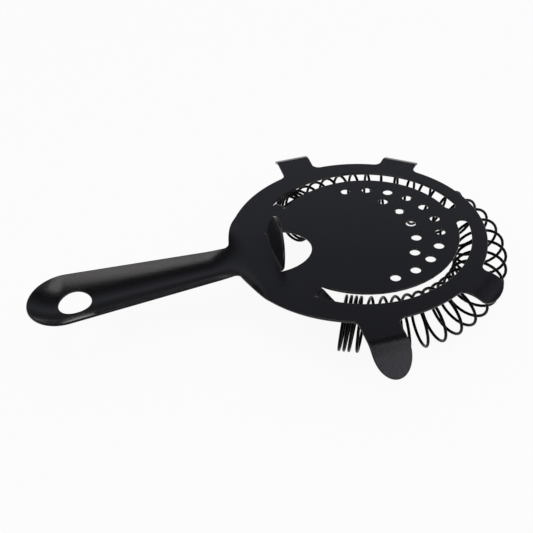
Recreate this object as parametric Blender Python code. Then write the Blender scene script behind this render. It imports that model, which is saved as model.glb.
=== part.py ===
# Hawthorne strainer: one stamped and bent sheet, and one coiled wire spring that hangs on its tongues.
# Metres, +Z up. The origin is the centre of the round plate, on its top face. The handle runs along -X.

import math

import bmesh
import bpy
import numpy as np
from mathutils import Vector
from mathutils.geometry import delaunay_2d_cdt

# Sheet and round plate
SHEET = 0.0008
DISC_RADIUS = 0.0440

# Two arc slots, mirrored about the X axis; their edges are circles centred on that axis
SLOT_OUTER_RADIUS = 0.0365
SLOT_OUTER_X = 0.0025
SLOT_INNER_RADIUS = 0.0318
SLOT_INNER_X = 0.0032
SLOT_FRONT_ANGLE = 9.4
SLOT_REAR_ANGLE = 134.0

# Tongue left standing at the rear end of each slot and set down to carry the spring
TONGUE_GAP = 0.0005
TONGUE_ROOT_WIDTH = 0.0040
TONGUE_TIP_WIDTH = 0.0034
TONGUE_LENGTH = 0.0175
TONGUE_TAPER = 0.0090
TONGUE_SET_ANGLE = 40.0
TONGUE_HOOK_ANGLE = 1.5
TONGUE_BEND_RADIUS = 0.0015

# Finger tab, lanced out of the plate and bent up; its fold line bows towards the handle
TAB_FOLD_X = -0.0293
TAB_WIDTH = 0.0211
TAB_LENGTH = 0.0125
TAB_BOW = 0.0030
TAB_ANGLE = 78.0
TAB_BEND_RADIUS = 0.0010
TAB_SLIT = 0.0005

# Strainer holes in two arcs
HOLE_DIAMETER = 0.0034
FRONT_ROW_RADIUS = 0.0257
FRONT_ROW_X = 0.0029
FRONT_ROW_COUNT = 11
FRONT_ROW_STEP = 17.3
BACK_ROW_RADIUS = 0.0279
BACK_ROW_X = -0.0081
BACK_ROW_COUNT = 5
BACK_ROW_STEP = 16.7

# Four ears that lie on a mixing tin's rim and turn down outside it
EAR_BEND_RADIUS = 0.0032
EAR_BEND_ANGLE = 41.0
EAR_FILLET = 0.0025
REAR_EAR_X = -0.0079
REAR_EAR_WIDTH = 0.0123
REAR_EAR_FOLD = 0.0524
REAR_EAR_LEG = 0.0092
REAR_EAR_TIP = 0.0091
FRONT_EAR_ANGLE = 51.6
FRONT_EAR_WIDTH = 0.0130
FRONT_EAR_FOLD = 0.0485
FRONT_EAR_LEG = 0.0031
FRONT_EAR_TIP = 0.0034

# Trough handle and its hanging hole
HANDLE_REACH = 0.1131
HANDLE_NECK_WIDTH = 0.0148
HANDLE_END_WIDTH = 0.0257
HANDLE_FILLET = 0.0020
NECK_START = 0.0370
NECK_LENGTH = 0.0150
NECK_DROP = 0.0019
HANDLE_SLOPE = 2.7
TROUGH_RADIUS = 0.0246
HANG_HOLE_DIAMETER = 0.0110
HANG_HOLE_INSET = 0.0158

# Spring: a coil bent to a horseshoe, with close turns at both ends
WIRE = 0.0010
COIL_DIAMETER = 0.0186
RING_RADIUS = 0.0361
RING_X = 0.0068
RING_HALF_ANGLE = 80.0
PLATE_TO_COIL = 0.0007
TURNS = 35.7
CLOSE_TURNS = 2.8
CLOSE_PITCH = 0.0016
OPENING_LENGTH = 0.0020
FRONT_PITCH_RATIO = 1.35
SEAT_ANGLE = 117.5
SEAT_SLANT = 26.0
SEAT_GAP = 0.0003
PRESS_TRAVEL = 0.0030
END_LEAN = 0.0012
SIDE_LEAN = -0.0010
FOOT_CUT = WIRE / 10

# Fineness of the curves
ARC_STEP = 6.0
FINE_STEP = 20.0
POINTS_PER_TURN = 10
FIRST_PHASE = 342.0
PATH_SAMPLES = 300

# Finishes: colour, roughness, metallic
SHEET_FINISH = ((0.016, 0.017, 0.021, 1.0), 0.55, 0.0)
WIRE_FINISH = ((0.012, 0.012, 0.014, 1.0), 0.38, 0.0)


def clear_scene():
    for obj in list(bpy.data.objects):
        bpy.data.objects.remove(obj, do_unlink=True)


def finish(name, colour, roughness, metallic):
    material = bpy.data.materials.new(name)
    material.use_nodes = True
    shader = material.node_tree.nodes["Principled BSDF"]
    shader.inputs["Base Color"].default_value = colour
    shader.inputs["Roughness"].default_value = roughness
    shader.inputs["Metallic"].default_value = metallic
    return material


def arc(centre, radius, start, end, step):
    # Points on a circle from one angle to another, in degrees, both ends included
    count = max(1, math.ceil(abs(end - start) / step - 1e-6))
    angles = np.radians(np.linspace(start, end, count + 1))
    return [(centre[0] + radius * math.cos(a), centre[1] + radius * math.sin(a)) for a in angles]


def direction_of(vector):
    return math.degrees(math.atan2(vector[1], vector[0]))


def mirrored(points):
    return [(x, -y) for x, y in points]


def placed(points, angle):
    # Turns points of a limb lying along +X so that the limb lies along the given angle
    c = math.cos(math.radians(angle))
    s = math.sin(math.radians(angle))
    return [(c * x - s * y, s * x + c * y) for x, y in points]


def root_fillet(side_y, slope, radius):
    # Fillet from the plate's rim into a limb's right side, which passes (DISC_RADIUS, side_y) at a slope
    along = (math.cos(math.radians(slope)), math.sin(math.radians(slope)))
    out = (along[1], -along[0])
    start = (DISC_RADIUS + radius * out[0], side_y + radius * out[1])
    half = start[0] * along[0] + start[1] * along[1]
    rest = start[0] ** 2 + start[1] ** 2 - (DISC_RADIUS + radius) ** 2
    run = -half + math.sqrt(half * half - rest)
    centre = (start[0] + run * along[0], start[1] + run * along[1])
    to_rim = direction_of((-centre[0], -centre[1]))
    to_side = 90.0 + slope
    return arc(centre, radius, to_rim % 360.0, to_side, FINE_STEP)


def limb(right_side, left_side, tip):
    # A limb along +X: up its right side, round its tip and back down its left side
    return right_side + tip + mirrored(left_side)[::-1]


def half_ellipse(centre, long, half):
    # Points round the +X half of an ellipse, counter-clockwise, both ends included
    unit_half = arc((0.0, 0.0), 1.0, -90.0, 90.0, ARC_STEP)
    return [(centre[0] + long * x, centre[1] + half * y) for x, y in unit_half]


def ear(width, offset, fold, leg, tip_length):
    # Flat shape of an ear whose middle line lies at a sideways offset from the plate's centre
    reach = fold + fold_length(EAR_BEND_RADIUS, EAR_BEND_ANGLE) + leg
    low = offset - width / 2
    high = offset + width / 2
    tip = half_ellipse((reach - tip_length, offset), tip_length, width / 2)
    return limb(root_fillet(low, 0.0, EAR_FILLET), root_fillet(-high, 0.0, EAR_FILLET), tip)


def handle():
    # Straight sides that run from the neck to touch a round end
    end_radius = HANDLE_END_WIDTH / 2
    end_centre = HANDLE_REACH - end_radius
    to_end = (end_centre - DISC_RADIUS, HANDLE_NECK_WIDTH / 2)
    slope = direction_of(to_end) - math.degrees(math.asin(end_radius / math.hypot(*to_end)))
    side = root_fillet(-HANDLE_NECK_WIDTH / 2, slope, HANDLE_FILLET)
    tip = arc((end_centre, 0.0), end_radius, slope - 90.0, 90.0 - slope, ARC_STEP * 2)
    return limb(side, side, tip)


def sheet_outline():
    # The blank's outer edge, counter-clockwise, with rim arcs between the limbs
    front = ear(FRONT_EAR_WIDTH, 0.0, FRONT_EAR_FOLD, FRONT_EAR_LEG, FRONT_EAR_TIP)
    far = ear(REAR_EAR_WIDTH, -REAR_EAR_X, REAR_EAR_FOLD, REAR_EAR_LEG, REAR_EAR_TIP)
    near = ear(REAR_EAR_WIDTH, REAR_EAR_X, REAR_EAR_FOLD, REAR_EAR_LEG, REAR_EAR_TIP)
    limbs = [
        placed(front, -FRONT_EAR_ANGLE),
        placed(front, FRONT_EAR_ANGLE),
        placed(far, 90.0),
        placed(handle(), 180.0),
        placed(near, 270.0),
    ]
    points = []
    for this, following in zip(limbs, limbs[1:] + limbs[:1]):
        start = direction_of(this[-1])
        sweep = (direction_of(following[0]) - start) % 360.0
        points += this + arc((0.0, 0.0), DISC_RADIUS, start, start + sweep, ARC_STEP)[1:-1]
    return points


def fold_length(inner_radius, angle):
    # Length of sheet taken up by a bend, on its middle layer
    return (inner_radius + SHEET / 2) * math.radians(abs(angle))


def tongue_path_radius():
    return SLOT_OUTER_RADIUS - TONGUE_GAP - TONGUE_TIP_WIDTH / 2


def tongue_width(run):
    share = min(max(run / TONGUE_TAPER, 0.0), 1.0)
    return TONGUE_ROOT_WIDTH + (TONGUE_TIP_WIDTH - TONGUE_ROOT_WIDTH) * share


def tongue_point(run, radius):
    # A point of the far tongue's flat shape, by its run from the root and its radius
    angle = math.radians(SLOT_REAR_ANGLE) - run / tongue_path_radius()
    return (SLOT_OUTER_X + radius * math.cos(angle), radius * math.sin(angle))


def half_round(start, end, step):
    # Half circle from one point to another, turning clockwise about their middle
    middle = ((start[0] + end[0]) / 2, (start[1] + end[1]) / 2)
    radius = math.dist(start, end) / 2
    angle = direction_of((start[0] - middle[0], start[1] - middle[1]))
    return arc(middle, radius, angle, angle - 180.0, step)[1:-1]


def slot_outline():
    # Far slot, cut round its tongue
    outer = arc((SLOT_OUTER_X, 0.0), SLOT_OUTER_RADIUS, SLOT_REAR_ANGLE, SLOT_FRONT_ANGLE, ARC_STEP)
    inner = arc((SLOT_INNER_X, 0.0), SLOT_INNER_RADIUS, SLOT_FRONT_ANGLE, SLOT_REAR_ANGLE, ARC_STEP)
    edge = SLOT_OUTER_RADIUS - TONGUE_GAP
    tip_radius = TONGUE_TIP_WIDTH / 2
    taper_runs = np.linspace(0.0, TONGUE_TAPER, 4)
    runs = np.r_[taper_runs, np.linspace(TONGUE_TAPER, TONGUE_LENGTH - tip_radius, 7)[1:]]
    tongue_inner = [tongue_point(run, edge - tongue_width(run)) for run in runs]
    tongue_outer = [tongue_point(run, edge) for run in runs[::-1]]
    tip = half_round(tongue_outer[0], tongue_inner[-1], FINE_STEP * 2)[::-1]
    front_end = half_round(outer[-1], inner[0], FINE_STEP)
    rear_inner = half_round(inner[-1], tongue_inner[0], FINE_STEP * 2)
    rear_outer = half_round(tongue_outer[-1], outer[0], FINE_STEP * 2)
    return outer + front_end + inner + rear_inner + tongue_inner + tip + tongue_outer + rear_outer


def tab_edge(grow):
    # Half ellipse round the tab, grown by part of the slit
    return half_ellipse((TAB_FOLD_X, 0.0), TAB_LENGTH + grow, TAB_WIDTH / 2 + grow)


def hole_row(centre_x, radius, count, step):
    loops = []
    for index in range(count):
        angle = math.radians((index - (count - 1) / 2) * step)
        centre = (centre_x + radius * math.cos(angle), radius * math.sin(angle))
        loops.append(arc(centre, HOLE_DIAMETER / 2, 0.0, 360.0, FINE_STEP)[:-1])
    return loops


def cut_outs():
    slot = slot_outline()
    loops = [slot, mirrored(slot), tab_edge(TAB_SLIT) + tab_edge(0.0)[::-1]]
    loops += hole_row(FRONT_ROW_X, FRONT_ROW_RADIUS, FRONT_ROW_COUNT, FRONT_ROW_STEP)
    loops += hole_row(BACK_ROW_X, BACK_ROW_RADIUS, BACK_ROW_COUNT, BACK_ROW_STEP)
    hang_centre = (HANG_HOLE_INSET - HANDLE_REACH, 0.0)
    loops.append(arc(hang_centre, HANG_HOLE_DIAMETER / 2, 0.0, 360.0, FINE_STEP / 2)[:-1])
    return loops


def tongue_folds():
    # A bend down and a larger bend up: the tongue dips below the spring's end turns and its tip rises
    down = math.radians(TONGUE_SET_ANGLE)
    up = math.radians(TONGUE_SET_ANGLE + TONGUE_HOOK_ANGLE)
    down_length = fold_length(TONGUE_BEND_RADIUS, TONGUE_SET_ANGLE)
    up_length = fold_length(TONGUE_BEND_RADIUS, TONGUE_SET_ANGLE + TONGUE_HOOK_ANGLE)
    both_bends = 2 * (TONGUE_BEND_RADIUS + SHEET / 2) * (1 - math.cos(down))
    straight = (tongue_drop() - both_bends) / math.sin(down)
    return [(0.0, -down, down_length), (down_length + straight, up, up_length)]


def tongue_drop():
    # Depth at which the tongue's corners clear the coil's bore when the spring is pressed back
    drift = math.radians(SEAT_ANGLE - 90.0 - SEAT_SLANT) * CLOSE_TURNS * CLOSE_PITCH / 2
    sideways = PRESS_TRAVEL * math.sin(math.radians(SEAT_ANGLE - 90.0))
    corner = TONGUE_TIP_WIDTH / 2 + abs(drift) + abs(sideways)
    flat_turn = (COIL_DIAMETER - WIRE) / 2 * math.cos(math.pi / POINTS_PER_TURN)
    bore = flat_turn - WIRE / 2 - SEAT_GAP
    return -spring_axis_z() - math.sqrt(bore * bore - corner * corner)


def spring_axis_z():
    return -(SHEET + PLATE_TO_COIL + COIL_DIAMETER / 2)


def folded(run, folds):
    # Place and height of the top face after a run over the folds, each (start, signed angle, length)
    x = 0.0
    z = -SHEET / 2
    heading = 0.0
    done = 0.0
    for start, angle, length in folds:
        straight = max(0.0, min(run, start) - done)
        x += straight * math.cos(heading)
        z += straight * math.sin(heading)
        bent = min(max(run - start, 0.0), length)
        radius = length / angle
        turned = heading + bent / radius
        x += radius * (math.sin(turned) - math.sin(heading))
        z += radius * (math.cos(heading) - math.cos(turned))
        heading = turned
        done = start + length
    straight = max(0.0, run - done)
    x += straight * math.cos(heading) - SHEET / 2 * math.sin(heading)
    z += straight * math.sin(heading) + SHEET / 2 * math.cos(heading)
    return x, z


def ear_frames():
    # Direction, sideways offset, width and fold distance of each ear
    frames = []
    for side in (-1, 1):
        frames.append((side * FRONT_EAR_ANGLE, 0.0, FRONT_EAR_WIDTH, FRONT_EAR_FOLD))
        frames.append((side * 90.0, -side * REAR_EAR_X, REAR_EAR_WIDTH, REAR_EAR_FOLD))
    return frames


def ear_form(frame):
    angle, offset, width, fold = frame
    folds = [(0.0, -math.radians(EAR_BEND_ANGLE), fold_length(EAR_BEND_RADIUS, EAR_BEND_ANGLE))]

    def form(x, y):
        along, across = placed([(x, y)], -angle)[0]
        reach, z = folded(along - fold, folds)
        point = placed([(fold + reach, across)], angle)[0]
        return (point[0], point[1], z)

    def holds(x, y):
        along, across = placed([(x, y)], -angle)[0]
        return along > fold and abs(across - offset) < width

    return form, holds


def tab_start(y):
    return TAB_FOLD_X - TAB_BOW * (1 - (2 * y / TAB_WIDTH) ** 2)


def tab_form():
    folds = [(0.0, math.radians(TAB_ANGLE), fold_length(TAB_BEND_RADIUS, TAB_ANGLE))]

    def form(x, y):
        run, z = folded(x - tab_start(y), folds)
        return (tab_start(y) + run, y, z)

    def holds(x, y):
        if x <= TAB_FOLD_X:
            return abs(y) < TAB_WIDTH / 2 and x > tab_start(y)
        long = TAB_LENGTH + TAB_SLIT / 2
        half = TAB_WIDTH / 2 + TAB_SLIT / 2
        return ((x - TAB_FOLD_X) / long) ** 2 + (y / half) ** 2 < 1.0

    return form, holds


def tongue_form(side):
    path_radius = tongue_path_radius()
    folds = tongue_folds()
    root = math.radians(SLOT_REAR_ANGLE)

    def local(x, y):
        radius = math.hypot(x - SLOT_OUTER_X, y)
        run = (root - math.atan2(side * y, x - SLOT_OUTER_X)) * path_radius
        return run, radius

    def form(x, y):
        run, radius = local(x, y)
        plan, z = folded(run, folds)
        point = tongue_point(plan, radius)
        return (point[0], side * point[1], z)

    def holds(x, y):
        run, radius = local(x, y)
        outer = SLOT_OUTER_RADIUS - TONGUE_GAP / 2
        inner = SLOT_OUTER_RADIUS - TONGUE_GAP - tongue_width(run) - TONGUE_GAP / 2
        return 0.0 < run < TONGUE_LENGTH + TONGUE_GAP and inner < radius < outer and side * y > 0

    return form, holds


def handle_form():
    # A trough that starts at the neck, runs downhill and closes like a spoon round the handle's end
    end_centre = HANDLE_REACH - HANDLE_END_WIDTH / 2

    def form(x, y):
        run = -x - NECK_START
        beyond = max(-x - end_centre, 0.0)
        share = min(max(run / NECK_LENGTH, 0.0), 1.0)
        blend = share * share * (3 - 2 * share)
        middle = -blend * (NECK_DROP + math.tan(math.radians(HANDLE_SLOPE)) * run)
        across = math.hypot(beyond, y)
        turn = across * blend / TROUGH_RADIUS
        if turn < 1e-6:
            return (x, y, middle)
        shrink = math.sin(turn) / turn
        rise = across * (1 - math.cos(turn)) / turn
        return (x + beyond * (1 - shrink), y * shrink, middle + rise)

    def holds(x, y):
        return x < -NECK_START

    return form, holds


def flat_form():
    return (lambda x, y: (x, y, 0.0)), (lambda x, y: True)


def bend_lines():
    # Lines across the bent zones, so that the skin has points to bend at
    lines = []
    for angle, offset, width, fold in ear_frames():
        for run in np.linspace(0.0, fold_length(EAR_BEND_RADIUS, EAR_BEND_ANGLE), 6):
            ends = [(fold + run, offset - width), (fold + run, offset + width)]
            lines.append(placed(ends, angle))
    for run in np.linspace(0.0, fold_length(TAB_BEND_RADIUS, TAB_ANGLE), 8):
        ys = np.linspace(-TAB_WIDTH / 2, TAB_WIDTH / 2, 13)
        line = [(tab_start(y) + run, y) for y in ys]
        holds = tab_form()[1]
        lines.append([p for p in line if p[0] <= TAB_FOLD_X or holds(*p)])
    for start, _, length in tongue_folds():
        for run in start + np.linspace(0.0, length, 4):
            edge = SLOT_OUTER_RADIUS - TONGUE_GAP
            ends = [tongue_point(run, edge + TONGUE_GAP / 2)]
            ends.append(tongue_point(run, edge - tongue_width(run) - TONGUE_GAP / 2))
            lines += [ends, mirrored(ends)]
    spacing = NECK_LENGTH / 5
    stations = np.arange(NECK_START, HANDLE_REACH, spacing)
    for station in stations:
        span = math.sqrt(max(DISC_RADIUS ** 2 - station ** 2, 0.0))
        half = max(HANDLE_END_WIDTH / 2, span) + SHEET
        lines.append([(-station, y) for y in np.linspace(-half, half, 13)])
    return lines


def inside(loops, points):
    # Even-odd test of many points against closed loops
    found = np.zeros(len(points), dtype=bool)
    px = points[:, 0]
    py = points[:, 1]
    for loop in loops:
        ring = np.array(loop)
        for (ax, ay), (bx, by) in zip(ring, np.roll(ring, -1, axis=0)):
            if ay == by:
                continue
            crosses = (ay > py) != (by > py)
            found ^= crosses & (px < ax + (py - ay) * (bx - ax) / (by - ay))
    return found


def flat_skin():
    # Triangles of the flat blank, with its cut-outs and bend lines
    loops = [sheet_outline()] + cut_outs()
    points = []
    edges = []
    for loop in loops:
        first = len(points)
        points += loop
        edges += [(first + k, first + (k + 1) % len(loop)) for k in range(len(loop))]
    for line in bend_lines():
        first = len(points)
        points += line
        edges += [(first + k, first + k + 1) for k in range(len(line) - 1)]
    flat = [Vector(p) for p in points]
    verts, _, faces, _, _, _ = delaunay_2d_cdt(flat, edges, [], 0, SHEET / 100, False)
    places = np.array([tuple(v) for v in verts])
    middles = np.array([places[list(face)].mean(axis=0) for face in faces])
    kept = inside(loops, middles)
    return places, [face for face, keep in zip(faces, kept) if keep]


def sheet_normal(form, x, y):
    # Unit normal of a formed zone, from small steps along the flat blank
    step = SHEET / 100
    along = np.subtract(form(x + step, y), form(x - step, y))
    across = np.subtract(form(x, y + step), form(x, y - step))
    normal = np.cross(along, across)
    return normal / np.linalg.norm(normal)


def build_plate():
    places, faces = flat_skin()
    mesh = bmesh.new()
    tops = [mesh.verts.new((x, y, 0.0)) for x, y in places]
    for face in faces:
        mesh.faces.new([tops[k] for k in face])
    loose = [v for v in mesh.verts if not v.link_faces]
    bmesh.ops.delete(mesh, geom=loose, context="VERTS")
    skin = bmesh.ops.extrude_face_region(mesh, geom=mesh.faces[:], use_keep_orig=True)
    lowered = [item for item in skin["geom"] if isinstance(item, bmesh.types.BMVert)]
    bmesh.ops.translate(mesh, verts=lowered, vec=(0.0, 0.0, -SHEET))
    zones = [ear_form(frame) for frame in ear_frames()]
    zones += [tab_form(), tongue_form(1), tongue_form(-1), handle_form(), flat_form()]
    for vert in mesh.verts:
        x, y, z = vert.co
        form = next(form for form, holds in zones if holds(x, y))
        vert.co = Vector(form(x, y)) + z * Vector(sheet_normal(form, x, y))
    bmesh.ops.recalc_face_normals(mesh, faces=mesh.faces[:])
    return add_object("plate", mesh, finish("sheet_black", *SHEET_FINISH))


def add_object(name, mesh, material):
    data = bpy.data.meshes.new(name)
    mesh.to_mesh(data)
    mesh.free()
    data.shade_smooth()
    data.set_sharp_from_angle(angle=math.radians(40.0))
    data.materials.append(material)
    obj = bpy.data.objects.new(name, data)
    bpy.context.scene.collection.objects.link(obj)
    return obj


def spring_path():
    # Coil's middle line, from the near end round the front to the far end
    ring = np.radians(np.linspace(0.0, RING_HALF_ANGLE, PATH_SAMPLES))
    front = np.c_[RING_X + RING_RADIUS * np.cos(ring), RING_RADIUS * np.sin(ring)]
    leave = front[-1]
    leave_way = np.array([-math.sin(ring[-1]), math.cos(ring[-1])])
    seat = math.radians(SEAT_ANGLE)
    slant = math.radians(SEAT_SLANT)
    seat_way = np.array([-math.cos(slant), -math.sin(slant)])
    seat_middle = tongue_path_radius() * np.array([math.cos(seat), math.sin(seat)]) + [SLOT_OUTER_X, 0.0]
    close_length = CLOSE_TURNS * CLOSE_PITCH
    meet = seat_middle - seat_way * close_length / 2
    chord = np.linalg.norm(meet - leave)
    u = np.linspace(0.0, 1.0, PATH_SAMPLES)[1:, None]
    side = (2 * u ** 3 - 3 * u ** 2 + 1) * leave + (u ** 3 - 2 * u ** 2 + u) * chord * leave_way
    side += (3 * u ** 2 - 2 * u ** 3) * meet + (u ** 3 - u ** 2) * chord * seat_way
    end = meet + np.linspace(0.0, close_length, PATH_SAMPLES)[1:, None] * seat_way
    half = np.vstack([front, side, end])
    return np.vstack([(half * [1, -1])[:0:-1], half])


def turns_along(path):
    # Turns counted along the path: close at both ends, opening towards the front
    steps = np.linalg.norm(np.diff(path, axis=0), axis=1)
    length = np.r_[0.0, np.cumsum(steps)]
    to_end = np.minimum(length, length[-1] - length)
    open_share = np.clip((to_end - CLOSE_TURNS * CLOSE_PITCH) / OPENING_LENGTH, 0.0, 1.0)
    front_share = np.clip(2 * to_end / length[-1], 0.0, 1.0)
    open_pitch = 1 + (FRONT_PITCH_RATIO - 1) * front_share
    open_density = open_share / open_pitch
    close_density = (1 - open_share) / CLOSE_PITCH

    def count(density):
        return np.r_[0.0, np.cumsum(steps * (density[1:] + density[:-1]) / 2)]

    close = count(close_density)
    opened = count(open_density)
    return length, close + opened * (TURNS - close[-1]) / opened[-1]


def spring_points():
    path = spring_path()
    length, turns = turns_along(path)
    wanted = np.arange(round(TURNS * POINTS_PER_TURN) + 1) / POINTS_PER_TURN
    at = np.interp(wanted, turns, length)
    middle = np.c_[np.interp(at, length, path[:, 0]), np.interp(at, length, path[:, 1])]
    way = np.gradient(path, length, axis=0)
    way = np.c_[np.interp(at, length, way[:, 0]), np.interp(at, length, way[:, 1])]
    way /= np.linalg.norm(way, axis=1)[:, None]
    phase = 2 * math.pi * wanted + math.radians(FIRST_PHASE)
    radius = (COIL_DIAMETER - WIRE) / 2
    half = length[-1] / 2
    spots = [0.0, CLOSE_TURNS * CLOSE_PITCH, half / 2, half]
    lean = np.interp(np.minimum(at, length[-1] - at), spots, [END_LEAN, END_LEAN, SIDE_LEAN, 0.0])
    across = -radius * np.cos(phase)
    along = lean * np.sin(phase) * np.sign(half - at)
    x = middle[:, 0] + across * way[:, 1] + along * way[:, 0]
    y = middle[:, 1] - across * way[:, 0] + along * way[:, 1]
    points = np.c_[x, y, radius * np.sin(phase)]
    first = points[0] + WIRE * unit(points[0] - points[1])
    last = points[-1] + WIRE * unit(points[-1] - points[-2])
    return np.vstack([first, points, last]) - [RING_X, 0.0, 0.0]


def unit(vector):
    return vector / np.linalg.norm(vector)


def least_gap(points):
    # Clear distance between turns, measured on points along the wire
    share = np.linspace(0.0, 1.0, 5)[:-1]
    fine = points[:-1, None] + share[None, :, None] * (points[1:] - points[:-1])[:, None]
    fine = fine.reshape(-1, 3)
    apart = np.linalg.norm(fine[:, None] - fine[None], axis=2)
    index = np.arange(len(fine))
    near = np.abs(index[:, None] - index[None]) < len(share) * POINTS_PER_TURN / 2
    apart[near] = np.inf
    return apart.min() - WIRE


def build_spring():
    points = spring_points()
    print("spring: least gap to itself %.2f mm" % (1000 * least_gap(points)))
    curve = bpy.data.curves.new("spring_wire", "CURVE")
    curve.dimensions = "3D"
    curve.bevel_depth = WIRE / 2
    curve.bevel_resolution = 1
    curve.use_fill_caps = True
    spline = curve.splines.new("POLY")
    spline.points.add(len(points) - 1)
    spline.points.foreach_set("co", np.c_[points, np.ones(len(points))].ravel())
    wire = bpy.data.objects.new("spring_wire", curve)
    mesh = bmesh.new()
    mesh.from_mesh(bpy.data.meshes.new_from_object(wire))
    bpy.data.objects.remove(wire)
    bmesh.ops.remove_doubles(mesh, verts=mesh.verts[:], dist=WIRE / 1000)
    floor = -COIL_DIAMETER / 2 + FOOT_CUT
    everything = mesh.verts[:] + mesh.edges[:] + mesh.faces[:]
    cut = bmesh.ops.bisect_plane(
        mesh, geom=everything, plane_co=(0.0, 0.0, floor), plane_no=(0.0, 0.0, -1.0), clear_outer=True)
    rims = [item for item in cut["geom_cut"] if isinstance(item, bmesh.types.BMEdge)]
    bmesh.ops.holes_fill(mesh, edges=rims)
    bmesh.ops.recalc_face_normals(mesh, faces=mesh.faces[:])
    spring = add_object("spring", mesh, finish("wire_black", *WIRE_FINISH))
    spring.location = (RING_X, 0.0, spring_axis_z())
    return spring


clear_scene()
build_plate()
build_spring()
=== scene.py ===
import math

import bpy
import numpy as np
from mathutils import Matrix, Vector
from mathutils.geometry import delaunay_2d_cdt


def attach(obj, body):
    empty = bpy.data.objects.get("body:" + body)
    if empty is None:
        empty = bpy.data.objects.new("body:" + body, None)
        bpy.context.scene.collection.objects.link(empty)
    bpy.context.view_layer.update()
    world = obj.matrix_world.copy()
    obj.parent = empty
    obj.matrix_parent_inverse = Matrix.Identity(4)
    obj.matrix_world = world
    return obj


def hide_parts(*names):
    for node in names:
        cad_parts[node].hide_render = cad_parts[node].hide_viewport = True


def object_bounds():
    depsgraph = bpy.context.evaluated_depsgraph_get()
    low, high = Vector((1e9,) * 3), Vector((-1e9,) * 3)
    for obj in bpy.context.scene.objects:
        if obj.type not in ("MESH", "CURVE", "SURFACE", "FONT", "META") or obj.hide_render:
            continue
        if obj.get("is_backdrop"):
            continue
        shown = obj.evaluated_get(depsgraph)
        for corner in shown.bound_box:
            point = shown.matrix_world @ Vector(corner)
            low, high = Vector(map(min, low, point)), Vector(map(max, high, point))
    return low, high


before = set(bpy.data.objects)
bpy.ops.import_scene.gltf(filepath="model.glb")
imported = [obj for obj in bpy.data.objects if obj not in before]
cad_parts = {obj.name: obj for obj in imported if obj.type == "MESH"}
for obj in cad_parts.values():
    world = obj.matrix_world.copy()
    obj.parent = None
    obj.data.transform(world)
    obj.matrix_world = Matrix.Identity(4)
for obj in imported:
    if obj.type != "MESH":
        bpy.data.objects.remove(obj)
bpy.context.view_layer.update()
print("frame:", ", ".join(sorted(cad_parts)))

mm = 0.001


class Flow:
    # a socket that takes part in sums: every operator adds one Math node
    def __init__(self, bench, socket):
        self.bench = bench
        self.socket = socket

    def maths(self, operation, left, right):
        return self.bench.node("ShaderNodeMath", {"operation": operation}, {0: left, 1: right})

    def __add__(self, other):
        return self.maths("ADD", self, other)

    def __radd__(self, other):
        return self.maths("ADD", other, self)

    def __sub__(self, other):
        return self.maths("SUBTRACT", self, other)

    def __rsub__(self, other):
        return self.maths("SUBTRACT", other, self)

    def __mul__(self, other):
        return self.maths("MULTIPLY", self, other)

    def __rmul__(self, other):
        return self.maths("MULTIPLY", other, self)

    def most(self, other):
        # the larger of the two
        return self.maths("MAXIMUM", self, other)

    def between(self, low, high):
        # 0 at low, 1 at high, eased
        limits = {"Value": self, "From Min": low, "From Max": high}
        return self.bench.node("ShaderNodeMapRange", {"interpolation_type": "SMOOTHSTEP"}, limits)


class Bench:
    # a node tree and one way to add any node to it
    def __init__(self, tree):
        self.tree = tree
        tree.nodes.clear()

    def node(self, kind, settings=None, sockets=None, out=0):
        made = self.tree.nodes.new(kind)
        for name, value in (settings or {}).items():
            if name == "stops":
                self.setStops(made.color_ramp.elements, value)
            else:
                setattr(made, name, value)
        for name, value in (sockets or {}).items():
            if isinstance(value, Flow):
                self.tree.links.new(value.socket, made.inputs[name])
            else:
                made.inputs[name].default_value = value
        return Flow(self, made.outputs[out]) if len(made.outputs) else made

    def setStops(self, elements, stops):
        # a ramp's stops: places and colours, in rising order
        while len(elements) < len(stops):
            elements.new(1.0)
        for element, (spot, colour) in zip(elements, stops):
            element.position, element.color = spot, (*colour, 1.0)

    def noise(self, spot, size, detail=2.0, rough=0.5):
        # noise whose bumps are about as wide as the given size in metres
        sockets = {"Vector": spot, "Scale": 1.0 / size, "Detail": detail, "Roughness": rough}
        return self.node("ShaderNodeTexNoise", None, sockets, "Fac")

    def blend(self, share, first, second):
        # first at share 0, second at share 1
        return self.node("ShaderNodeMix", {"data_type": "RGBA"}, {0: share, 6: first, 7: second}, 2)

    def seen(self):
        # 1 for rays from the camera, from gloss and through glass
        rays = [self.node("ShaderNodeLightPath", out=name)
                for name in ("Is Camera Ray", "Is Glossy Ray", "Is Transmission Ray")]
        return rays[0].most(rays[1]).most(rays[2])


def newMaterial(name):
    material = bpy.data.materials.new(name)
    material.use_nodes = True
    return material, Bench(material.node_tree)


def bumpOf(bench, height, look):
    # the normal over a bumpy height
    sockets = {"Height": height, "Strength": look["bump"], "Distance": look["bumpDepth"]}
    return bench.node("ShaderNodeBump", None, sockets)


def dress(bench, sockets):
    # one Principled shader, straight to the output
    shader = bench.node("ShaderNodeBsdfPrincipled", None, sockets)
    bench.node("ShaderNodeOutputMaterial", None, {"Surface": shader})


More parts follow.
